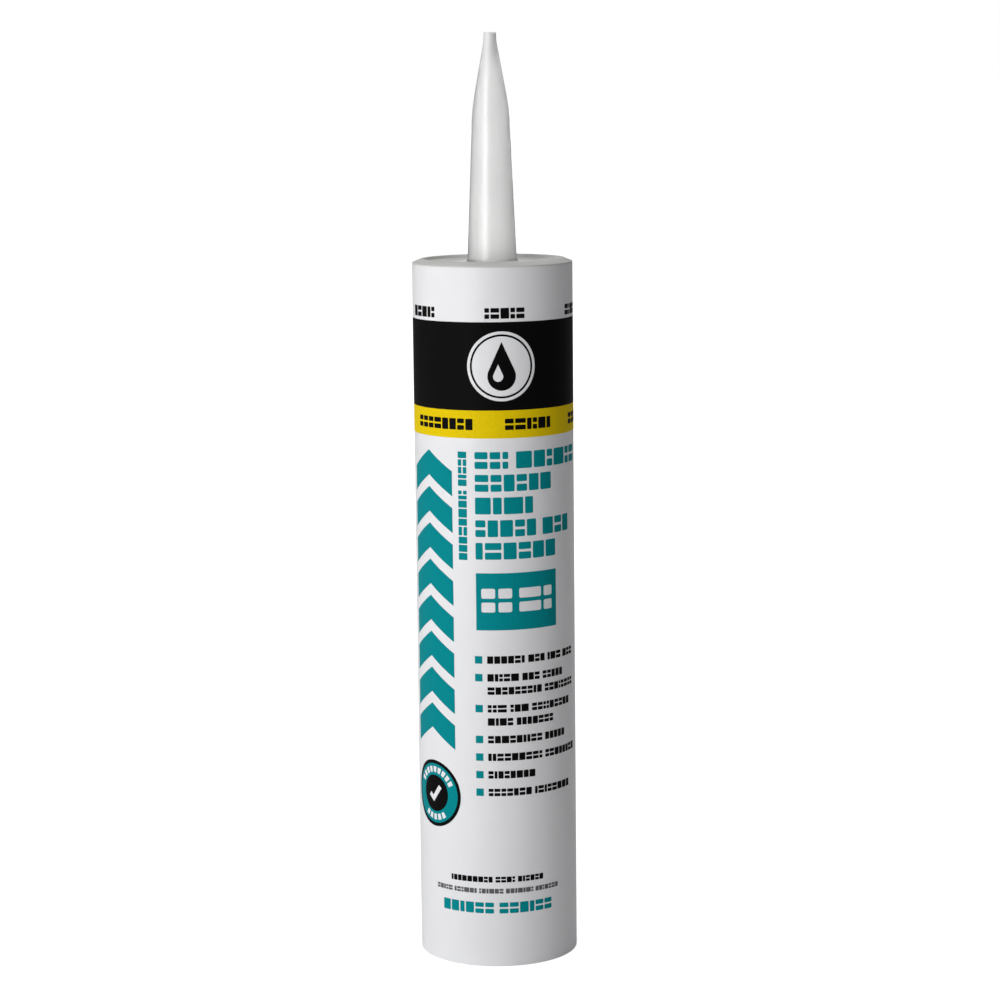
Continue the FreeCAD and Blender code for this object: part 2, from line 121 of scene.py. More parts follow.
# Lamps as name, place, size and power. All face one point on the axis.
LAMP_TARGET = (0, 0, 0.14)
LAMPS = (
    ("key", (-0.95, -1.35, 0.6), (0.9, 1.3), 17.5),
    ("strip", (-1.33, -0.69, 0.4), (0.22, 1.0), 2.6),
    ("left_fill", (-1.5, 0.1, 0.4), (1.0, 1.0), 3.2),
    ("top", (0.0, 0.2, 2.2), (2.4, 2.4), 8),
    ("back", (0.35, 1.3, 1.35), (1.4, 1.0), 8),
)

# Words of the label as block widths in millimetres: the heading's lines, the notes' lines, and
# the marks on the yellow band
HEADING_WORDS = ((10.2, 26.4), (24.8,), (18.0,), (19.0, 12.2), (26.5,))
NOTE_LINES = ((32.8,), (26.3, 32.8), (30.3, 21.8), (27.3,), (33.8,), (14.8,), (29.8,))
USE_MARKS = (21.7, 15.4, 21.7, 15.4, 21.7)
PANEL_MARKS = (9.4, 11.6)
WORD_LETTERS = (3, 9)
SHORTEST_WORD = 3

# Blocks that stand for letters, as shares of a letter's height
LETTER_PITCH = 0.84
LETTER_GAP = 0.13
LETTER_SLIT = 0.16
LETTER_ROUND = 0.07
LETTER_WIDTHS = (0.55, 1, 1, 1, 1.25)
LETTER_ARC_STEP = math.radians(30)
PARTED_SHARE = 0.45
WORD_SPACE = 0.5


def length(name, description, millimetres):
    """A size that a user can change, given in millimetres and kept in metres."""
    return FloatProperty(
        name=name, description=description, default=millimetres * MM, unit="LENGTH", precision=5
    )


def share(name, description, default):
    """A number from 0 to 1."""
    return FloatProperty(
        name=name, description=description, default=default, min=0, max=1, subtype="FACTOR"
    )


def colour(name, description, default):
    """A colour, as linear red, green and blue."""
    return FloatVectorProperty(
        name=name, description=description, default=default, min=0, max=1, size=3, subtype="COLOR"
    )


class BarrelSettings(bpy.types.PropertyGroup):
    """The white moulded tube."""

    back_round: length("Back edge round", "Round on the outside of the back edge", 0.2)
    back_lead_in: length("Back lead-in", "Bevel on the inside of the back edge", 0.3)
    seam_round: length("Seam round", "Round on each side of the weld seam", 0.015)
    tint: colour("Colour", "White of the moulded plastic", (0.85, 0.85, 0.87))
    roughness: share("Roughness", "Dullness of the skin", 0.42)


class FrontEndSettings(bpy.types.PropertyGroup):
    """The front end and its nozzle, one moulding."""

    shoulder_height: length("Shoulder height", "From the barrel's edge to the rim", 1.5)
    shoulder_bevel: length("Shoulder bevel", "How far the rim slopes down to the outside", 1.1)
    shoulder_round: length("Shoulder round", "Round between the bevel and the outside", 0.55)
    rim_width: length("Rim width", "From the outside to the recess", 3.6)
    rim_land: length("Rim land", "Flat of the rim beside the recess", 1.0)
    rim_crest_round: length("Crest round", "Round between the flat and the bevel", 1.0)
    rim_inner_round: length("Rim inner round", "Round on the recess's corners", 0.35)
    recess_depth: length("Recess depth", "From the rim down to the end wall", 1.0)
    recess_draft: length("Recess draft", "How far the recess's wall leans in", 0.3)
    plug_wall: length("Plug wall", "Thickness of the ring that fits the bore", 1.4)
    plug_lead_in: length("Plug lead-in", "Bevel on the plug's foot", 0.5)
    root_diameter: length("Nozzle root", "Nozzle's diameter at the end wall", 15.1)
    root_fillet: length("Root fillet", "Fillet between nozzle and end wall", 0.9)
    neck_diameter: length("Nozzle neck", "Diameter where the taper steepens", 11.2)
    neck_below_tip: length("Neck below tip", "From the tip down to the neck", 22.8)
    neck_round: length("Neck round", "Radius of the bend at the neck", 60.0)
    stub_diameter: length("Stub diameter", "Diameter under the closed tip", 3.9)
    stub_length: length("Stub length", "Length of the closed tip", 2.8)
    tip_diameter: length("Tip diameter", "Diameter of the tip's flat", 3.7)
    tip_round: length("Tip round", "Round on the tip's edge", 0.45)
    gate_diameter: length("Gate mark", "Dimple left on the tip by the mould", 1.3)
    gate_depth: length("Gate depth", "Depth of that dimple", 0.12)
    wall: length("Nozzle wall", "Thickness of the nozzle's wall", 1.35)
    tip_wall: length("Tip wall", "Thickness of the closed tip", 4.0)
    tint: colour("Colour", "Milky colour of the nozzle", (0.89, 0.89, 0.888))
    # Painted shade: the rim, shoulder and recess take this darker grey instead of the nozzle's milk,
    # for the dimmer light on them.
    rim_shade_tint: colour("Rim colour", "Greyer milk of the thicker rim and recess", (0.66, 0.67, 0.64))
    roughness: share("Roughness", "Dullness of the skin", 0.55)
    glow: share("Glow", "Share of the light that passes under the nozzle's skin", 0.15)
    # Painted shade: how far out from the nozzle the colour turns to that grey.
    rim_shade_reach: length("Milky reach", "From the nozzle out to the greyer plastic", 8.0)
    clearness: share("Clearness", "Share of the light that passes through the nozzle", 0.85)
    tip_clearness: share("Tip clearness", "How much of that is left at the closed tip", 0.4)
    # Painted light: a paler milk on the nozzle's lower part, up to the reach below. It lifts the
    # shade where the nozzle meets the end wall.
    root_light_tint: colour("Root colour", "Paler milk at the nozzle's root", (0.97, 0.97, 0.965))
    root_light_reach: length("Root haze", "How far up the nozzle that paler milk reaches", 22.0)


class PlungerSettings(bpy.types.PropertyGroup):
    """The cup that closes the fill from behind."""

    face_diameter: length("Face diameter", "Flat of the front face", 32.0)
    face_round: length("Face round", "Round between face and bevel", 3.0)
    cone_height: length("Bevel height", "Height of the bevel round the face", 4.0)
    cone_edge: length("Bevel edge", "Step from the bevel to the front lip", 0.9)
    lip_height: length("Lip height", "Height of each sealing lip", 1.6)
    lip_slope: length("Lip slope", "Slope beside each lip", 1.0)
    lip_round: length("Lip round", "Round on each lip", 0.3)
    lip_reach: length("Lip reach", "How far the lips stand out of the skirt", 0.8)
    skirt_wall: length("Skirt wall", "Thickness of the skirt", 1.4)
    face_wall: length("Face wall", "Thickness of the face", 1.8)
    cone_wall: length("Bevel wall", "Thickness behind the bevel", 2.2)
    rib_count: IntProperty(name="Ribs", description="Radial ribs in the cup", default=8, min=3)
    rib_wall: length("Rib wall", "Thickness of each rib", 1.2)
    rib_height: length("Rib height", "From the face's inside to the ribs' foot", 6.2)
    rib_round: length("Rib round", "Round on the ribs' edges", 0.22)
    boss_diameter: length("Boss diameter", "Outside of the centre boss", 9.0)
    boss_bore: length("Boss bore", "Inside of the centre boss", 5.6)
    tint: colour("Colour", "Milky white of the plastic", (0.74, 0.75, 0.73))
    roughness: share("Roughness", "Dullness of the skin", 0.45)
    glow: share("Glow", "Share of the light that passes under the skin", 0.4)


class FillSettings(bpy.types.PropertyGroup):
    """The sealant and the membrane in front of it."""

    gap: length("Gap to plunger", "Clearance between the fill and the plunger", 0.1)
    tint: colour("Colour", "White of the paste", (0.8, 0.8, 0.77))
    roughness: share("Roughness", "Dullness of the paste", 0.35)
    foil_tint: colour("Foil colour", "Colour of the membrane", (0.75, 0.75, 0.76))
    foil_roughness: share("Foil roughness", "Dullness of the membrane", 0.3)


class LabelSettings(bpy.types.PropertyGroup):
    """Sizes and places of the print. Widths run round the barrel from the front's middle."""

    ink: length("Ink thickness", "How far an ink stands out of the barrel", 0.03)
    black_height: length("Black band", "Height of the black band", 26.5)
    roundel: length("Roundel", "Diameter of the white disc in the band", 21.0)
    roundel_across: length("Roundel place", "Its middle, round the barrel", 2.5)
    drop_diameter: length("Drop diameter", "Width of the drop in the disc", 8.6)
    drop_height: length("Drop height", "Height of the drop in the disc", 14.6)
    roundel_edge: length("Roundel edge", "From the disc's edge to its dark ring", 0.9)
    roundel_line: length("Roundel line", "From the disc's edge to that ring's inside", 1.5)
    shine: share("Shine", "Size of the light drop in the drop", 0.36)
    shine_across: length("Shine place", "From the drop's middle to the shine's", -1.1)
    shine_drop: length("Shine drop", "From the drop's middle down to the shine's", 2.0)
    shade_count: IntProperty(name="Shade count", description="Marks over the band", default=5)
    shade_start: length("Shade marks", "Left edge of the first mark over the band", -31.7)
    shade_pitch: length("Shade pitch", "From one mark to the next", 29.2)
    shade_width: length("Shade width", "Width of each mark", 12.2)
    shade_height: length("Shade height", "Height of each mark", 3.2)
    shade_gap: length("Shade gap", "From the band up to the marks", 1.0)
    use_start: length("Use marks", "Left edge of the first mark on the yellow band", -28.2)
    use_gap: length("Use gap", "Space between those marks", 9.8)
    use_height: length("Use height", "Height of those marks", 3.4)
    heading_left: length("Heading place", "Left edge of the heading", -6.0)
    heading_drop: length("Heading drop", "From the yellow band down to the heading", 4.1)
    heading_height: length("Heading height", "Height of a heading line", 5.1)
    heading_pitch: length("Heading pitch", "From one heading line to the next", 6.9)
    word_gap: length("Word gap", "Space between the heading's words", 2.4)
    panel_width: length("Panel width", "Width of the teal panel", 26.7)
    panel_height: length("Panel height", "Height of the teal panel", 17.5)
    panel_drop: length("Panel drop", "From the heading down to the panel", 4.2)
    panel_inset: length("Panel inset", "From the panel's edge to its marks", 1.6)
    panel_mark_drop: length("Panel mark drop", "From the panel's top to its marks", 4.7)
    panel_mark_height: length("Panel mark height", "Height of those marks", 7.3)
    panel_mark_gap: length("Panel mark gap", "Space between those marks", 2.2)
    bullet_size: length("Bullet size", "Side of each bullet", 2.3)
    bullet_left: length("Bullet place", "Left edge of the bullets", -6.6)
    bullet_drop: length("Bullet drop", "From the panel down to the first bullet", 8.0)
    note_left: length("Note place", "Left edge of the notes", -2.8)
    note_height: length("Note height", "Height of a note's letters", 2.3)
    note_pitch: length("Note pitch", "From one note to the next", 5.5)
    note_line_pitch: length("Note line pitch", "From line to line in one note", 4.1)
    side_width: length("Side line", "Height of the upright line's letters", 2.8)
    side_length: length("Side line length", "Length of the upright line", 33.0)
    side_gap: length("Side line gap", "From the upright line to the heading", 2.6)
    foot_across: length("Foot lines", "Middle of the lines at the foot", -0.5)
    foot_raise: length("Foot raise", "How far they stand above mid-space", 1.5)
    foot_widths: FloatVectorProperty(
        name="Foot widths", description="Widths of the black, grey and teal lines",
        default=(30.0 * MM, 42.0 * MM, 36.4 * MM), unit="LENGTH", size=3,
    )
    foot_heights: FloatVectorProperty(
        name="Foot heights", description="Heights of the black, grey and teal lines",
        default=(1.8 * MM, 1.5 * MM, 3.4 * MM), unit="LENGTH", size=3,
    )
    foot_gaps: FloatVectorProperty(
        name="Foot gaps", description="Spaces between those lines",
        default=(2.0 * MM, 2.9 * MM), unit="LENGTH", size=2,
    )
    chevron_count: IntProperty(name="Chevrons", description="Chevrons in the column", default=8)
    chevron_width: length("Chevron width", "Width of the column", 19.0)
    chevron_across: length("Chevron place", "Middle of the column", -23.0)
    chevron_pitch: length("Chevron pitch", "From one chevron to the next", 11.2)
    chevron_arm: length("Chevron arm", "Upright thickness of an arm", 7.6)
    chevron_rise: length("Chevron rise", "How far an arm rises", 6.0)
    chevron_drop: length("Chevron drop", "From the yellow band down to the column", 4.3)
    badge: length("Badge", "Diameter of the round badge", 20.8)
    badge_across: length("Badge place", "Middle of the badge", -22.2)
    badge_drop: length("Badge drop", "From the column down to the badge", 4.4)
    badge_edge: length("Badge edge", "Width of the badge's dark edge", 1.1)
    badge_centre: length("Badge centre", "Diameter of its dark middle", 11.4)
    tick_stroke: length("Tick stroke", "Width of the tick's stroke", 1.5)
    tick_short: length("Tick short arm", "Length of the tick's short arm", 3.0)
    tick_long: length("Tick long arm", "Length of the tick's long arm", 6.0)
    black: colour("Black", "Black ink", (0.004, 0.0036, 0.0038))
    yellow: colour("Yellow", "Yellow ink", (0.81, 0.59, 0.003))
    teal: colour("Teal", "Teal ink", (0.001, 0.25, 0.28))
    grey: colour("Grey", "Grey ink", (0.12, 0.12, 0.125))
    roughness: share("Ink roughness", "Dullness of the inks", 0.48)
    seed: IntProperty(name="Seed", description="Seed of the letter blocks", default=7)


class StageSettings(bpy.types.PropertyGroup):
    """Camera, floor and lights."""

    distance: FloatProperty(
        name="Distance", description="From the axis to the camera", default=0.8586, unit="LENGTH"
    )
    height: FloatProperty(
        name="Height", description="Camera's height over the floor", default=0.2683, unit="LENGTH"
    )
    pitch: FloatProperty(
        name="Pitch", description="How far the camera looks down",
        default=math.radians(8.39), unit="ROTATION",
    )
    yaw: FloatProperty(
        name="Yaw", description="How far the camera turns to the right",
        default=math.radians(0.109), unit="ROTATION",
    )
    roll: FloatProperty(
        name="Roll", description="How far the camera leans",
        default=math.radians(-0.592), unit="ROTATION",
    )
    lens: FloatProperty(name="Lens", description="Focal length in millimetres", default=101.0)
    floor_size: FloatProperty(
        name="Floor", description="Side of the floor", default=40.0, unit="LENGTH"
    )
    floor_tint: colour("Floor colour", "Pale grey of the floor", (0.82, 0.82, 0.82))
    floor_lift: share("Floor lift", "White that the camera sees in the floor by the object", 0.72)
    shadow_reach: FloatProperty(
        name="Shadow reach", description="How far out the floor can show a shadow",
        default=1.0, unit="LENGTH",
    )
    surroundings: share("Surroundings", "Light from all round", 0.11)


SETTINGS = {
    "cartridge_barrel": BarrelSettings,
    "cartridge_front": FrontEndSettings,
    "cartridge_plunger": PlungerSettings,
    "cartridge_fill": FillSettings,
    "cartridge_label": LabelSettings,
    "cartridge_stage": StageSettings,
}


def rounded(corners, arc_step=ARC_STEP):
    """Points of a closed outline from (x, y) corners, where a third number rounds that corner."""
    places = [Vector(corner[:2]) for corner in corners]
    points = []
    for i, corner in enumerate(corners):
        place = places[i]
        radius = corner[2] if len(corner) > 2 else 0
        if not radius:
            points.append(place)
            continue
        back = places[i - 1] - place
        ahead = places[(i + 1) % len(places)] - place
        half_turn = back.angle(ahead) / 2
        room = min(back.length, ahead.length) * ROUND_ROOM
        reach = min(radius / math.tan(half_turn), room)
        radius = reach * math.tan(half_turn)
        middle = (back.normalized() + ahead.normalized()).normalized()
        centre = place + middle * radius / math.sin(half_turn)
        start = place + back.normalized() * reach - centre
        turn = math.pi - 2 * half_turn
        side = 1 if back.x * ahead.y - back.y * ahead.x < 0 else -1
        steps = max(2, math.ceil(turn / arc_step))
        for step in range(steps + 1):
            swing = Matrix.Rotation(side * turn * step / steps, 2)
            points.append(centre + swing @ start)
    return points


def new_piece(name, bm, sharp=SHARP_ANGLE):
    """Object in the scene from a bmesh, shaded smooth but for its sharp edges."""
    mesh = bpy.data.meshes.new(name)
    bmesh.ops.recalc_face_normals(bm, faces=bm.faces[:])
    bm.to_mesh(mesh)
    bm.free()
    mesh.shade_smooth()
    mesh.set_sharp_from_angle(angle=sharp)
    piece = bpy.data.objects.new(name, mesh)
    bpy.context.scene.collection.objects.link(piece)
    return piece


def turned(outline, steps=TURN_STEPS):
    """Closed bmesh turned about the z axis from a half outline of (radius, height) points."""
    bm = bmesh.new()
    rings = []
    for point in outline:
        radius, height = point
        if radius < TINY:
            rings.append([bm.verts.new((0, 0, height))])
            continue
        turns = (math.tau * step / steps for step in range(steps))
        rings.append([
            bm.verts.new((radius * math.sin(turn), -radius * math.cos(turn), height))
            for turn in turns
        ])
    for ring, after in zip(rings, rings[1:] + rings[:1]):
        for step in range(steps):
            across = (step + 1) % steps
            if len(ring) == 1 and len(after) == 1:
                break
            if len(ring) == 1:
                bm.faces.new((ring[0], after[across], after[step]))
            elif len(after) == 1:
                bm.faces.new((ring[step], ring[across], after[0]))
            else:
                bm.faces.new((ring[step], ring[across], after[across], after[step]))
    return bm


def dress(piece, material, body, node_name=None):
    """Gives a piece its material and its body, and hides the node that it stands for."""
    piece.data.materials.clear()
    piece.data.materials.append(material)
    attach(piece, body)
    if node_name:
        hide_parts(node_name)


def joined(target, cutter):
    """Target's mesh becomes the union of both, without slivers, and the cutter goes."""
    modifier = target.modifiers.new("union", "BOOLEAN")
    modifier.operation = "UNION"
    modifier.solver = "EXACT"
    modifier.use_self = True
    modifier.object = cutter
    graph = bpy.context.evaluated_depsgraph_get()
    mesh = bpy.data.meshes.new_from_object(target.evaluated_get(graph))
    bm = bmesh.new()
    bm.from_mesh(mesh)
    bmesh.ops.remove_doubles(bm, verts=bm.verts[:], dist=SLIVER)
    bmesh.ops.dissolve_degenerate(bm, dist=SLIVER, edges=bm.edges[:])
    bm.to_mesh(mesh)
    bm.free()
    target.modifiers.clear()
    target.data = mesh
    bpy.data.objects.remove(cutter)
    return target


def new_material(name, tint, roughness):
    """Material with a plain shader, and its node tree and shader to build on."""
    material = bpy.data.materials.new(name)
    material.use_nodes = True
    shader = material.node_tree.nodes["Principled BSDF"]
    shader.inputs["Base Color"].default_value = (*tint, 1)
    shader.inputs["Roughness"].default_value = roughness
    return material, material.node_tree, shader


def node(tree, kind, settings=(), **sockets):
    """Adds a node. Settings are its own properties, and sockets its input values or links."""
    made = tree.nodes.new(kind)
    for name, value in dict(settings).items():
        setattr(made, name, value)
    for name, value in sockets.items():
        socket = made.inputs[int(name[1:]) if name[1:].isdigit() else name.replace("_", " ")]
        if isinstance(value, bpy.types.NodeSocket):
            tree.links.new(value, socket)
        else:
            socket.default_value = value
    return made


def grain(tree, name):
    """Noise of one named grain over the object's own space, and the depth of its bumps."""
    stretch, scale, detail, depth = GRAINS[name]
    place = node(tree, "ShaderNodeTexCoord").outputs["Object"]
    mapping = node(tree, "ShaderNodeMapping", Vector=place, Scale=stretch)
    noise = node(
        tree, "ShaderNodeTexNoise", Vector=mapping.outputs[0], Scale=scale, Detail=detail
    )
    return noise.outputs["Fac"], depth


def ranged(tree, value, low, high):
    """A noise value spread between two numbers."""
    made = node(
        tree, "ShaderNodeMapRange", Value=value, From_Min=NOISE_LOW, From_Max=NOISE_HIGH,
        To_Min=low, To_Max=high,
    )
    return made.outputs["Result"]


def set_plain(shader, **values):
    """Sets values on the shader's own sockets."""
    for name, value in values.items():
        shader.inputs[name.replace("_", " ")].default_value = value


def vary_roughness(tree, shader, noise, roughness, less, more):
    """Lets the roughness vary round its value with a grain."""
    rough = ranged(tree, noise[0], roughness - less, roughness + more)
    tree.links.new(rough, shader.inputs["Roughness"])


def bumps(tree, shader, *grains):
    """Chains the bumps of grains into the shader's normal."""
    normal = None
    for height, depth in grains:
        bump = node(tree, "ShaderNodeBump", Height=height, Distance=depth, Strength=1.0)
        if normal:
            tree.links.new(normal, bump.inputs["Normal"])
        normal = bump.outputs["Normal"]
    tree.links.new(normal, shader.inputs["Normal"])


def vary_colour(tree, shader, noise, tint, spread):
    """Lets the colour vary round its value with a grain."""
    dark = [channel * (1 - spread) for channel in tint]
    light = [min(1, channel * (1 + spread)) for channel in tint]
    mix = node(tree, "ShaderNodeMix", {"data_type": "RGBA"}, _0=ranged(tree, noise[0], 0, 1))
    mix.inputs[6].default_value = (*dark, 1)
    mix.inputs[7].default_value = (*light, 1)
    tree.links.new(mix.outputs[2], shader.inputs["Base Color"])


def white_plastic(settings):
    """Opaque white polyethylene with faint upright lines and a soft unevenness."""
    material, tree, shader = new_material("white_plastic", settings.tint, settings.roughness)
    uneven, lines = grain(tree, "uneven skin"), grain(tree, "draw lines")
    vary_colour(tree, shader, uneven, settings.tint, spread=0.012)
    vary_roughness(tree, shader, lines, settings.roughness, less=0.04, more=0.05)
    bumps(tree, shader, uneven, lines, grain(tree, "fine skin"))
    set_plain(
        shader, IOR=PLASTIC_IOR, Specular_IOR_Level=0.4, Subsurface_Weight=0.12,
        Subsurface_Radius=(1.0, 0.97, 0.94), Subsurface_Scale=1.2 * MM,
    )
    return material


def milky_plastic(name, tint, roughness, glow):
    """Natural polyethylene: light goes in under its skin, which is a little uneven."""
    material, tree, shader = new_material(name, tint, roughness)
    cloud = grain(tree, "milky cloud")
    vary_colour(tree, shader, cloud, tint, spread=0.015)
    vary_roughness(tree, shader, cloud, roughness, less=0.03, more=0.04)
    bumps(tree, shader, cloud)
    set_plain(
        shader, IOR=PLASTIC_IOR, Specular_IOR_Level=0.5, Coat_Weight=1.0, Coat_Roughness=0.17,
        Subsurface_Weight=glow, Subsurface_Radius=(1.0, 1.0, 0.9), Subsurface_Scale=6 * MM,
    )
    return material


def smooth_step(tree, value, start, end, before, after):
    """A number that passes smoothly from one value to another as the input goes from start to end."""
    made = node(
        tree, "ShaderNodeMapRange", {"interpolation_type": "SMOOTHSTEP"}, Value=value,
        From_Min=start, From_Max=end, To_Min=before, To_Max=after,
    )
    return made.outputs["Result"]


def front_end_plastic(settings):
    """Milky plastic that light passes through in the nozzle. Its root is painted paler to lift the
    shade there, and the rim and recess are painted a darker grey for shade and are duller.
    """
    material = milky_plastic(
        "natural_plastic", settings.tint, settings.roughness, settings.glow
    )
    tree = material.node_tree
    shader = tree.nodes["Principled BSDF"]
    place = node(tree, "ShaderNodeTexCoord").outputs["Object"]
    flat = node(tree, "ShaderNodeVectorMath", {"operation": "MULTIPLY"}, _0=place, _1=(1, 1, 0))
    reach = node(tree, "ShaderNodeVectorMath", {"operation": "LENGTH"}, _0=flat.outputs["Vector"])
    radius = reach.outputs["Value"]
    height = node(tree, "ShaderNodeSeparateXYZ", Vector=place).outputs["Z"]
    root = settings.root_diameter / 2
    fillet_end = root + settings.root_fillet
    thin = smooth_step(tree, radius, root, fillet_end, settings.clearness, 0.0)
    tip_start = NOZZLE_TIP - TIP_HAZE_START * settings.tip_wall
    tip_end = NOZZLE_TIP - TIP_HAZE_END * settings.tip_wall
    hollow = smooth_step(tree, height, tip_start, tip_end, 1.0, settings.tip_clearness)
    clear = node(tree, "ShaderNodeMath", {"operation": "MULTIPLY"}, _0=thin, _1=hollow)
    tree.links.new(clear.outputs[0], shader.inputs["Transmission Weight"])
    gloss = smooth_step(tree, radius, root, fillet_end, 1.0, 0.0)
    tree.links.new(gloss, shader.inputs["Coat Weight"])
    milky = shader.inputs["Base Color"].links[0].from_socket
    # Painted light: from the end wall up, the milk turns paler towards the root, lifting the shade
    # that falls there.
    foot = BARREL_LENGTH + settings.shoulder_height - settings.recess_depth
    low = smooth_step(tree, height, foot, foot + settings.root_light_reach, 1.0, 0.0)
    root_light_mix = node(tree, "ShaderNodeMix", {"data_type": "RGBA"}, _0=low, _6=milky)
    root_light_mix.inputs[7].default_value = (*settings.root_light_tint, 1)
    # Painted shade: further from the nozzle the colour turns to the darker rim grey, standing for the
    # dimmer light on the rim, shoulder and recess. Near the nozzle the milk stays, lifting the
    # nozzle's shade on the recess.
    grey_shade_mask = smooth_step(tree, radius, root, root + settings.rim_shade_reach, 0.0, 1.0)
    mix = node(tree, "ShaderNodeMix", {"data_type": "RGBA"}, _0=grey_shade_mask, _6=root_light_mix.outputs[2])
    mix.inputs[7].default_value = (*settings.rim_shade_tint, 1)
    tree.links.new(mix.outputs[2], shader.inputs["Base Color"])
    return material


def paste(settings):
    """Smooth white paste with soft folds from filling."""
    material, tree, shader = new_material("sealant_paste", settings.tint, settings.roughness)
    folds = grain(tree, "paste folds")
    vary_colour(tree, shader, folds, settings.tint, spread=0.02)
    vary_roughness(tree, shader, folds, settings.roughness, less=0.06, more=0.06)
    bumps(tree, shader, folds)
    set_plain(shader, Subsurface_Weight=0.3, Subsurface_Scale=2 * MM)
    return material


def foil(settings):
    """Thin metal foil with fine creases from the heat seal."""
    material, tree, shader = new_material("foil", settings.foil_tint, settings.foil_roughness)
    creases = grain(tree, "foil creases")
    vary_colour(tree, shader, creases, settings.foil_tint, spread=0.05)
    vary_roughness(tree, shader, creases, settings.foil_roughness, less=0.08, more=0.1)
    bumps(tree, shader, creases)
    set_plain(shader, Metallic=1.0)
    return material


def printing_ink(name, tint, roughness):
    """Screen-printed ink: the barrel's lines show through it, and its cover is a little uneven."""
    material, tree, shader = new_material(name, tint, roughness)
    cover = grain(tree, "ink cover")
    vary_colour(tree, shader, cover, tint, spread=0.05)
    vary_roughness(tree, shader, cover, roughness, less=0.05, more=0.07)
    bumps(tree, shader, grain(tree, "draw lines"), cover)
    set_plain(shader, IOR=PLASTIC_IOR, Specular_IOR_Level=0.03)
    return material


class CartridgeBarrel(bpy.types.Operator):
    """Builds the white barrel, open at both ends"""

    bl_idname = "cartridge.barrel"
    bl_label = "Barrel"

    def execute(self, context):
        """Makes the barrel and stands it for its solid."""
        settings = context.scene.cartridge_barrel
        outline = rounded([
            (BORE_RADIUS + settings.back_lead_in, 0),
            (OUTER_RADIUS, 0, settings.back_round),
            (OUTER_RADIUS, BARREL_LENGTH, settings.seam_round),
            (BORE_RADIUS, BARREL_LENGTH),
            (BORE_RADIUS, settings.back_lead_in),
        ])
        piece = new_piece("barrel_tube", turned(outline))
        dress(piece, white_plastic(settings), "cartridge", "barrel")
        return {"FINISHED"}


class CartridgeFrontEnd(bpy.types.Operator):
    """Builds the shoulder, end wall, plug and closed nozzle as one moulding"""

    bl_idname = "cartridge.front_end"
    bl_label = "Front end with nozzle"

    def execute(self, context):
        """Makes the front end and stands it for its solid."""
        settings = context.scene.cartridge_front
        piece = new_piece("front_end_and_nozzle", turned(rounded(self.corners(settings))))
        dress(
            piece, front_end_plastic(settings), "cartridge",
            "front_end_with_nozzle",
        )
        return {"FINISHED"}

    def corners(self, settings):
        """Half outline of the moulding, from the tip down its outside and back up its inside."""
        rim = BARREL_LENGTH + settings.shoulder_height
        floor = rim - settings.recess_depth
        recess = OUTER_RADIUS - settings.rim_width
        root = settings.root_diameter / 2
        neck = settings.neck_diameter / 2
        stub = settings.stub_diameter / 2
        gate = settings.gate_diameter / 2
        neck_height = NOZZLE_TIP - settings.neck_below_tip
        stub_height = NOZZLE_TIP - settings.stub_length
        slope = (neck - stub) / (stub_height - neck_height)
        bore_top = NOZZLE_TIP - settings.tip_wall
        seam_round = bpy.context.scene.cartridge_barrel.seam_round
        return [
            (0, NOZZLE_TIP - settings.gate_depth),
            (gate - settings.gate_depth, NOZZLE_TIP - settings.gate_depth),
            (gate, NOZZLE_TIP),
            (settings.tip_diameter / 2, NOZZLE_TIP, settings.tip_round),
            (stub, stub_height),
            (neck, neck_height, settings.neck_round),
            (root, floor, settings.root_fillet),
            (recess - settings.recess_draft, floor, settings.rim_inner_round),
            (recess, rim, settings.rim_inner_round),
            (recess + settings.rim_land, rim, settings.rim_crest_round),
            (OUTER_RADIUS, rim - settings.shoulder_bevel, settings.shoulder_round),
            (OUTER_RADIUS, BARREL_LENGTH, seam_round),
            (BORE_RADIUS, BARREL_LENGTH),
            (BORE_RADIUS, PLUG_BOTTOM + settings.plug_lead_in),
            (BORE_RADIUS - settings.plug_lead_in, PLUG_BOTTOM),
            (BORE_RADIUS - settings.plug_wall, PLUG_BOTTOM),
            (BORE_RADIUS - settings.plug_wall, END_WALL_UNDER),
            (MEMBRANE_RADIUS, END_WALL_UNDER),
            (MEMBRANE_RADIUS, MEMBRANE_TOP),
            (root - settings.wall, MEMBRANE_TOP),
            (neck - settings.wall, neck_height, settings.neck_round),
            (stub + slope * (stub_height - bore_top) - settings.wall, bore_top),
            (0, bore_top),
        ]


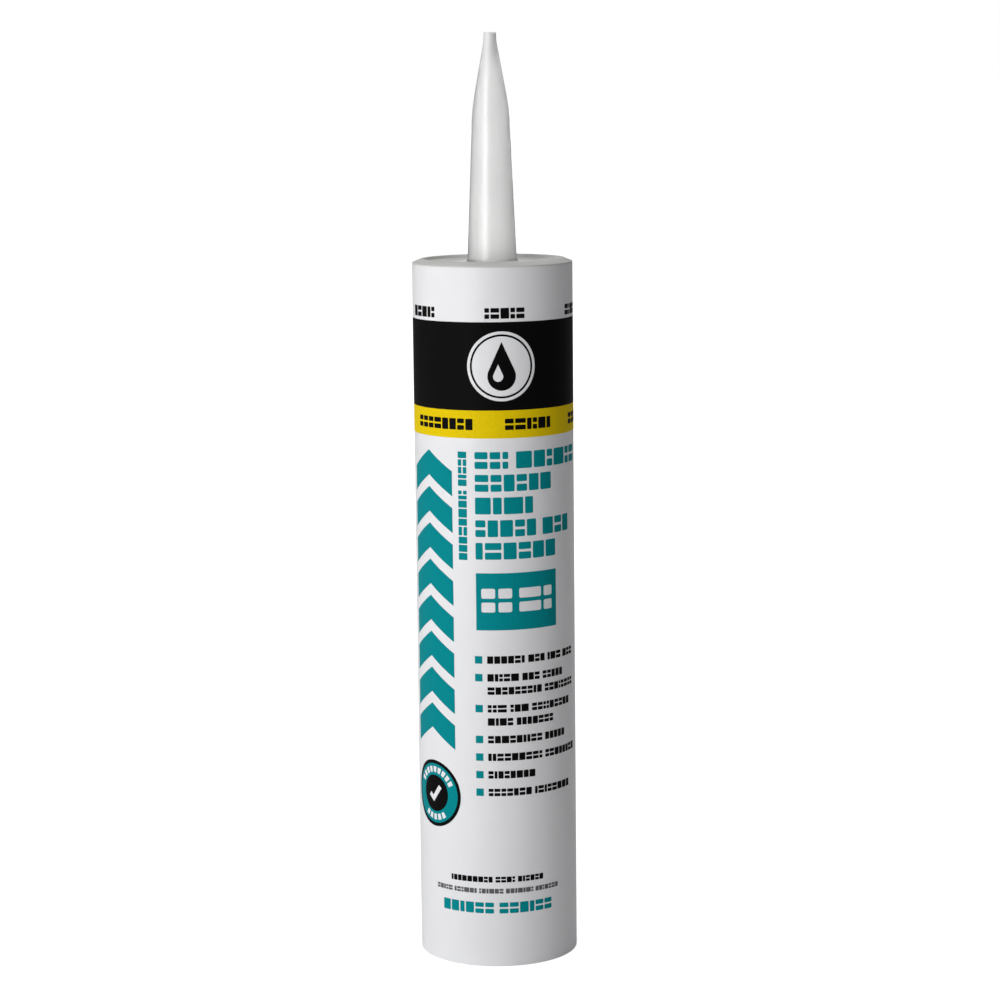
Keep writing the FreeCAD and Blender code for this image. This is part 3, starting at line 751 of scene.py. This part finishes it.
class CartridgePlunger(bpy.types.Operator):
    """Builds the ribbed cup that slides in the bore"""

    bl_idname = "cartridge.plunger"
    bl_label = "Plunger"

    def execute(self, context):
        """Makes the cup, joins its ribs to it and stands it for its solid."""
        settings = context.scene.cartridge_plunger
        cup = new_piece("plunger_cup", turned(rounded(self.cup_corners(settings))))
        ribs = new_piece("plunger_ribs", self.ribs(settings))
        joined(cup, ribs)
        cup.data.shade_smooth()
        cup.data.set_sharp_from_angle(angle=SHARP_ANGLE)
        material = milky_plastic(
            "plunger_plastic", settings.tint, settings.roughness, settings.glow
        )
        dress(cup, material, "plunger", "plunger")
        return {"FINISHED"}

    def cup_corners(self, settings):
        """Half outline of the cup without its ribs, outside first."""
        face = settings.face_diameter / 2
        cone_foot = PLUNGER_FACE - settings.cone_height
        front_lip = cone_foot - settings.cone_edge / 2
        front_foot = front_lip - settings.lip_height
        back_lip = PLUNGER_BACK + settings.lip_height + settings.lip_slope / 2
        skirt = LIP_RADIUS - settings.lip_reach
        inner = skirt - settings.skirt_wall
        return [
            (0, PLUNGER_FACE),
            (face, PLUNGER_FACE, settings.face_round),
            (LIP_RADIUS - settings.cone_edge, cone_foot),
            (LIP_RADIUS, front_lip, settings.lip_round),
            (LIP_RADIUS, front_foot, settings.lip_round),
            (skirt, front_foot - settings.lip_slope),
            (skirt, back_lip + settings.lip_slope),
            (LIP_RADIUS, back_lip, settings.lip_round),
            (LIP_RADIUS, PLUNGER_BACK + settings.lip_slope / 2, settings.lip_round),
            (LIP_RADIUS - settings.lip_slope / 2, PLUNGER_BACK),
            (inner, PLUNGER_BACK, settings.lip_round),
            (inner, cone_foot - settings.cone_wall, settings.face_round),
            (face, PLUNGER_FACE - settings.face_wall, settings.face_round),
            (0, PLUNGER_FACE - settings.face_wall),
        ]

    def ribs(self, settings):
        """Ring of ribs round a hollow boss, sunk a little into the cup."""
        sunk = settings.face_wall / 3
        top = PLUNGER_FACE - settings.face_wall + sunk
        foot = PLUNGER_FACE - settings.face_wall - settings.rib_height
        boss = settings.boss_diameter / 2
        bore = settings.boss_bore / 2
        bm = turned(rounded([
            (bore, top), (boss, top),
            (boss, foot, settings.rib_round), (bore, foot, settings.rib_round),
        ]), TURN_STEPS // 4)
        inner = LIP_RADIUS - settings.lip_reach - settings.skirt_wall
        start = (bore + boss) / 2
        end = inner + sunk
        for i in range(settings.rib_count):
            box = bmesh.ops.create_cube(bm, size=1)["verts"]
            size = Vector((end - start, settings.rib_wall, top - foot))
            middle = Vector(((start + end) / 2, 0, (top + foot) / 2))
            turn = Matrix.Rotation(math.tau * i / settings.rib_count, 4, "Z")
            shape = turn @ Matrix.Translation(middle) @ Matrix.Diagonal((*size, 1))
            bmesh.ops.transform(bm, matrix=shape, verts=box)
            low = {v for v in box if v.co.z < (top + foot) / 2}
            edges = {e for v in low for e in v.link_edges if e.other_vert(v) in low}
            bmesh.ops.bevel(
                bm, geom=list(edges), offset=settings.rib_round, segments=3,
                profile=0.5, affect="EDGES",
            )
        return bm


class CartridgeFill(bpy.types.Operator):
    """Builds the sealant, which flattens as the plunger comes up, and finishes the membrane"""

    bl_idname = "cartridge.fill"
    bl_label = "Sealant and membrane"

    def execute(self, context):
        """Makes the fill and gives the membrane's solid its foil."""
        settings = context.scene.cartridge_fill
        cup = context.scene.cartridge_plunger
        plug = BORE_RADIUS - context.scene.cartridge_front.plug_wall
        face = PLUNGER_FACE + settings.gap
        lip = face - cup.cone_height
        outline = rounded([
            (0, face),
            (cup.face_diameter / 2, face, cup.face_round),
            (LIP_RADIUS - cup.cone_edge, lip),
            (BORE_RADIUS, lip),
            (BORE_RADIUS, PLUG_BOTTOM),
            (plug, PLUG_BOTTOM),
            (plug, END_WALL_UNDER),
            (0, END_WALL_UNDER),
        ])
        fill = new_piece("sealant_fill", turned(outline, TURN_STEPS // 2))
        dress(fill, paste(settings), "cartridge", "sealant")
        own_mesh(fill)
        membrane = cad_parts["nozzle_membrane"]
        membrane.data.materials.clear()
        membrane.data.materials.append(foil(settings))
        return {"FINISHED"}


def moved(outline, across, height):
    """An outline shifted round the barrel and up it."""
    return [(x + across, y + height) for x, y in outline]


def block(left, low, width, height):
    """Rectangle outline."""
    right, top = left + width, low + height
    return [(left, low), (right, low), (right, top), (left, top)]


def circle(radius):
    """Round outline about (0, 0)."""
    turns = (math.tau * step / CIRCLE_STEPS for step in range(CIRCLE_STEPS))
    return [(radius * math.cos(turn), radius * math.sin(turn)) for turn in turns]


def letter(left, low, width, height, parted):
    """One block with slightly round corners that stands for a letter, whole or in two halves."""
    part = height * (1 - LETTER_SLIT) / 2 if parted else height
    lows = (low, low + height - part) if parted else (low,)
    corner = height * LETTER_ROUND
    return [
        rounded([(x, y, corner) for x, y in block(left, foot, width, part)], LETTER_ARC_STEP)
        for foot in lows
    ]


def word(left, low, width, height, draw):
    """Letter blocks of uneven width that fill one word."""
    gap = height * LETTER_GAP
    count = max(1, round((width + gap) / (height * LETTER_PITCH)))
    widths = [draw.choice(LETTER_WIDTHS) for _ in range(count)]
    unit = (width - gap * (count - 1)) / sum(widths)
    outlines = []
    for size in widths:
        outlines += letter(left, low, size * unit, height, draw.random() < PARTED_SHARE)
        left += size * unit + gap
    return outlines


def words(left, low, width, height, draw):
    """A text line parted into words of uneven length."""
    pitch = height * LETTER_PITCH
    space = height * WORD_SPACE
    outlines = []
    end = left + width
    while end - left > pitch:
        wanted = draw.randint(*WORD_LETTERS) * pitch
        if end - left - wanted < SHORTEST_WORD * pitch:
            wanted = end - left
        outlines += word(left, low, wanted, height, draw)
        left += wanted + space
    return outlines


def upright(outlines, right, low):
    """Text turned to read upwards, with its foot towards the right."""
    return [[(right - y, low + x) for x, y in outline] for outline in outlines]


class Label:
    """Where the print's fields stand, worked out from the bands and the label's settings."""

    def __init__(self, settings):
        """Works the heights out, from the yellow band down."""
        self.set = settings
        self.draw = random.Random(settings.seed)
        self.yellow_top = YELLOW_HIGH.z
        self.yellow_foot = YELLOW_LOW.z
        self.black_top = self.yellow_top + settings.black_height
        self.heading_top = self.yellow_foot - settings.heading_drop
        lines = len(HEADING_WORDS) - 1
        heading_foot = self.heading_top - lines * settings.heading_pitch
        self.panel_top = heading_foot - settings.heading_height - settings.panel_drop
        bullet_top = self.panel_top - settings.panel_height - settings.bullet_drop
        self.first_note = bullet_top - settings.bullet_size / 2
        reach = settings.chevron_arm + settings.chevron_rise
        self.first_chevron = self.yellow_foot - settings.chevron_drop - reach / 2
        column = (settings.chevron_count - 1) * settings.chevron_pitch
        badge_top = self.first_chevron - column - reach / 2 - settings.badge_drop
        self.badge_middle = badge_top - settings.badge / 2
        foot_height = sum(settings.foot_heights) + sum(settings.foot_gaps)
        space = badge_top - settings.badge
        self.foot_top = (space + foot_height) / 2 + settings.foot_raise

    def foot_line(self, index):
        """Letter blocks of one of the three lines at the foot."""
        above = sum(self.set.foot_heights[:index]) + sum(self.set.foot_gaps[:index])
        width = self.set.foot_widths[index]
        height = self.set.foot_heights[index]
        low = self.foot_top - above - height
        return words(self.set.foot_across - width / 2, low, width, height, self.draw)

    def notes(self):
        """Middle height and widths of each note."""
        middle = self.first_note
        for widths in NOTE_LINES:
            yield middle, widths
            middle -= (len(widths) - 1) * self.set.note_line_pitch + self.set.note_pitch

    def black_fields(self):
        """The black band with its roundel, as one outline with holes in holes."""
        settings = self.set
        half = math.pi * OUTER_RADIUS
        foot = self.yellow_top
        middle = foot + settings.black_height / 2
        radius = settings.roundel / 2
        across = settings.roundel_across
        shine = [(x * settings.shine, y * settings.shine) for x, y in self.drop()]
        return [
            block(-half, foot, 2 * half, settings.black_height),
            moved(circle(radius), across, middle),
            moved(circle(radius - settings.roundel_edge), across, middle),
            moved(circle(radius - settings.roundel_line), across, middle),
            moved(self.drop(), across, middle),
            moved(shine, across + settings.shine_across, middle - settings.shine_drop),
        ]

    def drop(self):
        """A drop about (0, 0): a round foot with straight sides that meet above it."""
        radius = self.set.drop_diameter / 2
        height = self.set.drop_height
        lean = math.acos(radius / (height - radius))
        foot = radius - height / 2
        turn = math.tau - 2 * lean
        points = [(0, height / 2)]
        for step in range(DROP_STEPS + 1):
            angle = lean + turn * step / DROP_STEPS
            points.append((-radius * math.sin(angle), foot + radius * math.cos(angle)))
        return points

    def black_words(self):
        """Marks over the band, and the notes and the first foot line."""
        settings = self.set
        outlines = []
        low = self.black_top + settings.shade_gap
        for i in range(settings.shade_count):
            left = settings.shade_start + i * settings.shade_pitch
            outlines += word(left, low, settings.shade_width, settings.shade_height, self.draw)
        for middle, widths in self.notes():
            for line, width in enumerate(widths):
                low = middle - line * settings.note_line_pitch - settings.note_height / 2
                outlines += words(
                    settings.note_left, low, width * MM, settings.note_height, self.draw
                )
        return outlines + self.foot_line(0)

    def use_words(self):
        """Marks on the yellow band."""
        settings = self.set
        left = settings.use_start
        low = (self.yellow_top + self.yellow_foot - settings.use_height) / 2
        outlines = []
        for width in USE_MARKS:
            outlines += word(left, low, width * MM, settings.use_height, self.draw)
            left += width * MM + settings.use_gap
        return outlines

    def badge_rings(self):
        """The badge's dark edge and dark middle with its tick, as outlines with holes."""
        settings = self.set
        radius = settings.badge / 2
        short, long, stroke = settings.tick_short, settings.tick_long, settings.tick_stroke
        tick = [(0, 0), (long, 0), (long, stroke), (stroke, stroke), (stroke, short), (0, short)]
        along, aside = math.cos(TICK_TURN), math.sin(TICK_TURN)
        tick = [(x * along - y * aside, x * aside + y * along) for x, y in tick]
        middle_x = (max(x for x, _ in tick) + min(x for x, _ in tick)) / 2
        middle_y = (max(y for _, y in tick) + min(y for _, y in tick)) / 2
        return [
            circle(radius),
            circle(radius - settings.badge_edge),
            circle(settings.badge_centre / 2),
            moved(tick, -middle_x, -middle_y),
        ]

    def teal_ring(self):
        """The badge's broad ring with small marks left out of it along two arcs."""
        settings = self.set
        outer = settings.badge / 2 - settings.badge_edge
        inner = settings.badge_centre / 2
        outlines = [circle(outer), circle(inner)]
        low = inner + (outer - inner) * RING_MARK_LOW
        high = inner + (outer - inner) * RING_MARK_HIGH
        for centre, count in RING_ARCS:
            for i in range(count):
                turn = math.radians(centre) + (i - (count - 1) / 2) * RING_MARK_PITCH
                start, end = turn - RING_MARK_HALF, turn + RING_MARK_HALF
                corners = ((low, start), (high, start), (high, end), (low, end))
                outlines.append([(r * math.cos(t), r * math.sin(t)) for r, t in corners])
        return outlines

    def on_badge(self, outlines):
        """Outlines about (0, 0) moved to the badge's place."""
        return [moved(outline, self.set.badge_across, self.badge_middle) for outline in outlines]

    def chevron(self):
        """One chevron about (0, 0)."""
        half = self.set.chevron_width / 2
        arm, rise = self.set.chevron_arm, self.set.chevron_rise
        low = -(arm + rise) / 2
        return [
            (-half, low), (0, low + rise), (half, low),
            (half, low + arm), (0, low + rise + arm), (-half, low + arm),
        ]

    def panel(self):
        """The teal panel with two words left out of it."""
        settings = self.set
        low = self.panel_top - settings.panel_height
        outlines = [block(settings.heading_left, low, settings.panel_width, settings.panel_height)]
        left = settings.heading_left + settings.panel_inset
        height = settings.panel_mark_height
        mark_low = self.panel_top - settings.panel_mark_drop - height
        for width in PANEL_MARKS:
            outlines += word(left, mark_low, width * MM, height, self.draw)
            left += width * MM + settings.panel_mark_gap
        return outlines

    def teal_words(self):
        """Heading, upright side line, bullets and the last foot line."""
        settings = self.set
        outlines = []
        for line, widths in enumerate(HEADING_WORDS):
            left = settings.heading_left
            low = self.heading_top - line * settings.heading_pitch - settings.heading_height
            for width in widths:
                outlines += word(left, low, width * MM, settings.heading_height, self.draw)
                left += width * MM + settings.word_gap
        side = words(0, 0, settings.side_length, settings.side_width, self.draw)
        right = settings.heading_left - settings.side_gap
        outlines += upright(side, right, self.heading_top - settings.side_length)
        size = settings.bullet_size
        for middle, _ in self.notes():
            outlines.append(block(settings.bullet_left, middle - size / 2, size, size))
        return outlines + self.foot_line(2)


def flat_shape(plain, holed):
    """Flat bmesh of simple outlines and of groups of outlines with holes in them."""
    bm = bmesh.new()
    for outline in plain:
        bm.faces.new([bm.verts.new((x, y, 0)) for x, y in outline])
    for group in holed:
        curve = bpy.data.curves.new("outline", "CURVE")
        curve.dimensions = "2D"
        curve.fill_mode = "FRONT"
        for outline in group:
            spline = curve.splines.new("POLY")
            spline.points.add(len(outline) - 1)
            for point, (x, y) in zip(spline.points, outline):
                point.co = (x, y, 0, 1)
            spline.use_cyclic_u = True
        holder = bpy.data.objects.new("outline", curve)
        mesh = bpy.data.meshes.new_from_object(holder)
        bm.from_mesh(mesh)
        bpy.data.objects.remove(holder)
        bpy.data.curves.remove(curve)
        bpy.data.meshes.remove(mesh)
    return bm


def ink_shell(name, plain, holed, base, thickness):
    """Thin closed shell of ink on the barrel over flat outlines."""
    bm = flat_shape(plain, holed)
    step = math.tau * OUTER_RADIUS / TURN_STEPS
    reach = [v.co.x for v in bm.verts]
    for cut in range(math.ceil(min(reach) / step), math.floor(max(reach) / step) + 1):
        everything = bm.verts[:] + bm.edges[:] + bm.faces[:]
        bmesh.ops.bisect_plane(
            bm, geom=everything, dist=TINY, plane_co=(cut * step, 0, 0), plane_no=(1, 0, 0)
        )
    made = bmesh.ops.extrude_face_region(bm, geom=bm.faces[:], use_keep_orig=True)
    raised = [v for v in made["geom"] if isinstance(v, bmesh.types.BMVert)]
    bmesh.ops.translate(bm, verts=raised, vec=(0, 0, thickness))
    seam = math.pi * OUTER_RADIUS - SEAM_SLACK
    ends = [f for f in bm.faces if all(abs(v.co.x) > seam for v in f.verts)]
    bmesh.ops.delete(bm, geom=ends, context="FACES_ONLY")
    bmesh.ops.recalc_face_normals(bm, faces=bm.faces[:])
    for vert in bm.verts:
        turn = vert.co.x / OUTER_RADIUS
        radius = OUTER_RADIUS + base + vert.co.z
        vert.co = (radius * math.sin(turn), -radius * math.cos(turn), vert.co.y)
    bmesh.ops.remove_doubles(bm, verts=bm.verts[:], dist=TINY)
    mesh = bpy.data.meshes.new(name)
    bm.to_mesh(mesh)
    bm.free()
    mesh.shade_smooth()
    mesh.normals_split_custom_set(round_normals(mesh, OUTER_RADIUS + base + thickness / 2))
    piece = bpy.data.objects.new(name, mesh)
    bpy.context.scene.collection.objects.link(piece)
    return piece


def round_normals(mesh, middle):
    """Corner normals: straight out from the axis on the skin, and each face's own on its sides."""
    normals = []
    for face in mesh.polygons:
        on_skin = all(mesh.vertices[i].co.xy.length > middle for i in face.vertices)
        for i in face.vertices:
            out = mesh.vertices[i].co
            normals.append(Vector((out.x, out.y, 0)).normalized() if on_skin else face.normal)
    return normals


def print_ink(settings, name, tint, plain, holed, node_name=None, layer=0):
    """Makes one ink's shell and stands it for its solid."""
    piece = ink_shell(name, plain, holed, layer * settings.ink, settings.ink)
    dress(piece, printing_ink(name, tint, settings.roughness), "cartridge", node_name)


class CartridgeBlackInk(bpy.types.Operator):
    """Prints the black band, its roundel, the marks, the notes and the badge's dark parts"""

    bl_idname = "cartridge.black_ink"
    bl_label = "Black ink"

    def execute(self, context):
        """Makes the black shells: one on the barrel, and the marks on the yellow band."""
        settings = context.scene.cartridge_label
        label = Label(settings)
        holed = [label.black_fields(), label.on_badge(label.badge_rings())]
        print_ink(
            settings, "black_ink", settings.black, label.black_words(), holed,
            "black_print",
        )
        print_ink(
            settings, "black_ink_on_yellow", settings.black, label.use_words(), [],
            layer=1,
        )
        return {"FINISHED"}


class CartridgeYellowInk(bpy.types.Operator):
    """Prints the yellow band"""

    bl_idname = "cartridge.yellow_ink"
    bl_label = "Yellow ink"

    def execute(self, context):
        """Makes the yellow shell."""
        settings = context.scene.cartridge_label
        label = Label(settings)
        half = math.pi * OUTER_RADIUS
        height = label.yellow_top - label.yellow_foot
        band = block(-half, label.yellow_foot, 2 * half, height)
        print_ink(
            settings, "yellow_ink", settings.yellow, [band], [], "yellow_print"
        )
        return {"FINISHED"}


class CartridgeTealInk(bpy.types.Operator):
    """Prints the heading, side line, panel, bullets, chevrons, badge ring and last line"""

    bl_idname = "cartridge.teal_ink"
    bl_label = "Teal ink"

    def execute(self, context):
        """Makes the teal shell."""
        settings = context.scene.cartridge_label
        label = Label(settings)
        holed = [label.panel(), label.on_badge(label.teal_ring())]
        for i in range(settings.chevron_count):
            height = label.first_chevron - i * settings.chevron_pitch
            holed.append([moved(label.chevron(), settings.chevron_across, height)])
        print_ink(
            settings, "teal_ink", settings.teal, label.teal_words(), holed,
            "teal_print",
        )
        return {"FINISHED"}


class CartridgeGreyInk(bpy.types.Operator):
    """Prints the grey line at the foot"""

    bl_idname = "cartridge.grey_ink"
    bl_label = "Grey ink"

    def execute(self, context):
        """Makes the grey shell."""
        settings = context.scene.cartridge_label
        line = Label(settings).foot_line(1)
        print_ink(settings, "grey_ink", settings.grey, line, [], "grey_print")
        return {"FINISHED"}


def soft_light(name, place, size, power):
    """Rectangular lamp that faces the object's middle."""
    lamp = bpy.data.lights.new(name, "AREA")
    lamp.shape = "RECTANGLE"
    lamp.size, lamp.size_y = size
    lamp.energy = power
    holder = bpy.data.objects.new(name, lamp)
    holder.location = place
    facing = Vector(LAMP_TARGET) - Vector(place)
    holder.rotation_euler = facing.to_track_quat("-Z", "Y").to_euler()
    bpy.context.scene.collection.objects.link(holder)


def seen_directly(tree):
    """One for what the camera sees, straight or through milky plastic, and nought for its light."""
    path = node(tree, "ShaderNodeLightPath")
    seen = node(
        tree, "ShaderNodeMath", {"operation": "MAXIMUM"}, _0=path.outputs["Is Camera Ray"],
        _1=path.outputs["Is Transmission Ray"],
    )
    return seen.outputs[0]


def stage_world(settings):
    """Even surroundings for the object, and white where the camera looks past it."""
    world = bpy.data.worlds.new("studio")
    world.use_nodes = True
    tree = world.node_tree
    background = tree.nodes["Background"]
    strength = node(
        tree, "ShaderNodeMix", {"data_type": "FLOAT"}, _0=seen_directly(tree),
        _2=settings.surroundings, _3=1.0,
    )
    tree.links.new(strength.outputs[0], background.inputs["Strength"])
    background.inputs["Color"].default_value = (1, 1, 1, 1)
    bpy.context.scene.world = world


def floor_material(settings):
    """Pale floor that keeps the object's shadow and turns to plain white away from it."""
    material, tree, shader = new_material("pale_floor", settings.floor_tint, FLOOR_ROUGHNESS)
    set_plain(shader, Specular_IOR_Level=0.0, Emission_Color=(1, 1, 1, 1))
    place = node(tree, "ShaderNodeTexCoord").outputs["Object"]
    reach = node(tree, "ShaderNodeVectorMath", {"operation": "LENGTH"}, _0=place)
    lift = node(
        tree, "ShaderNodeMapRange", Value=reach.outputs["Value"],
        From_Min=settings.shadow_reach / 4, From_Max=settings.shadow_reach,
        To_Min=settings.floor_lift, To_Max=1.0,
    )
    seen = node(
        tree, "ShaderNodeMath", {"operation": "MULTIPLY"}, _0=seen_directly(tree),
        _1=lift.outputs["Result"],
    )
    tree.links.new(seen.outputs[0], shader.inputs["Emission Strength"])
    return material


class CartridgeStage(bpy.types.Operator):
    """Sets up the camera, the floor and the lights"""

    bl_idname = "cartridge.stage"
    bl_label = "Stage"

    def execute(self, context):
        """Makes the stage."""
        settings = context.scene.cartridge_stage
        self.add_camera(context, settings)
        stage_world(settings)
        bm = bmesh.new()
        bmesh.ops.create_grid(bm, x_segments=1, y_segments=1, size=settings.floor_size / 2)
        floor = new_piece("floor", bm)
        floor.data.materials.append(floor_material(settings))
        for lamp in LAMPS:
            soft_light(*lamp)
        context.scene.view_settings.view_transform = "Standard"
        return {"FINISHED"}

    def add_camera(self, context, settings):
        """Camera at the photograph's viewing angle."""
        lens = bpy.data.cameras.new("camera")
        lens.lens = settings.lens
        lens.sensor_width = SENSOR_WIDTH
        camera = bpy.data.objects.new("camera", lens)
        camera.location = (0, -settings.distance, settings.height)
        facing = Euler((math.pi / 2 - settings.pitch, 0, -settings.yaw)).to_matrix()
        camera.rotation_euler = (facing @ Matrix.Rotation(settings.roll, 3, "Z")).to_euler()
        context.scene.collection.objects.link(camera)
        context.scene.camera = camera


OPERATORS = (
    CartridgeStage,
    CartridgeBarrel,
    CartridgeFrontEnd,
    CartridgePlunger,
    CartridgeFill,
    CartridgeYellowInk,
    CartridgeBlackInk,
    CartridgeTealInk,
    CartridgeGreyInk,
)


class CartridgePanel(bpy.types.Panel):
    """Lists the cartridge's pieces"""

    bl_idname = "VIEW3D_PT_cartridge"
    bl_label = "Sealant cartridge"
    bl_space_type = "VIEW_3D"
    bl_region_type = "UI"
    bl_category = "Cartridge"

    def draw(self, context):
        """One button for each piece and for the stage."""
        for operator in OPERATORS:
            self.layout.operator(operator.bl_idname)


def register():
    """Adds the settings, operators and panel."""
    for name, settings in SETTINGS.items():
        bpy.utils.register_class(settings)
        setattr(bpy.types.Scene, name, PointerProperty(type=settings))
    for operator in OPERATORS:
        bpy.utils.register_class(operator)
    bpy.utils.register_class(CartridgePanel)


def unregister():
    """Takes them away again."""
    bpy.utils.unregister_class(CartridgePanel)
    for operator in reversed(OPERATORS):
        bpy.utils.unregister_class(operator)
    for name, settings in SETTINGS.items():
        delattr(bpy.types.Scene, name)
        bpy.utils.unregister_class(settings)


def main():
    """Builds everything in order."""
    register()
    for operator in OPERATORS:
        group, name = operator.bl_idname.split(".")
        getattr(getattr(bpy.ops, group), name)()


if __name__ == "__main__":
    main()
